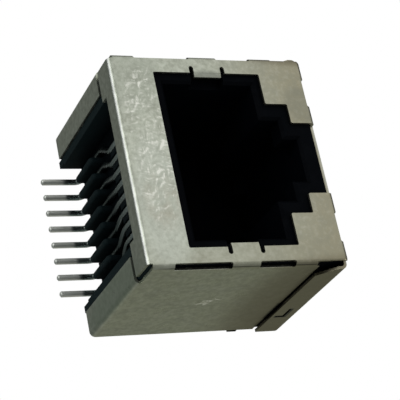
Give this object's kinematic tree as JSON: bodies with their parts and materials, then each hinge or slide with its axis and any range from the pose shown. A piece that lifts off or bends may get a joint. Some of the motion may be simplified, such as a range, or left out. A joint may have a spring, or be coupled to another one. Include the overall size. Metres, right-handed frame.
{
  "type": "modular board jack",
  "caption": "Shielded side-entry modular jack for a circuit board, with a folded metal shield, a black moulded port and bent spring wires that end in solder pins.",
  "frame": {"origin": "on the board plane, in line with the front face and midway across the port", "axes": "+X across the port, +Y from the front face into the jack, +Z away from the circuit board"},
  "size_m": [0.0164, 0.0127, 0.0163],
  "materials": {
    "nickel_sheet": "bright nickel plate with faint handling marks",
    "black_moulding": "fine matt moulded surface",
    "carrier_moulding": "fine matt moulded surface",
    "contact_wire": "plated drawn wire"
  },
  "bodies": {
    "root": {"shield": "nickel_sheet", "housing": "black_moulding", "contact_carrier": "carrier_moulding", "contact_1": "contact_wire", "contact_2": "contact_wire", "contact_3": "contact_wire", "contact_4": "contact_wire", "contact_5": "contact_wire", "contact_6": "contact_wire", "contact_7": "contact_wire", "contact_8": "contact_wire"}
  },
  "joints": []
}
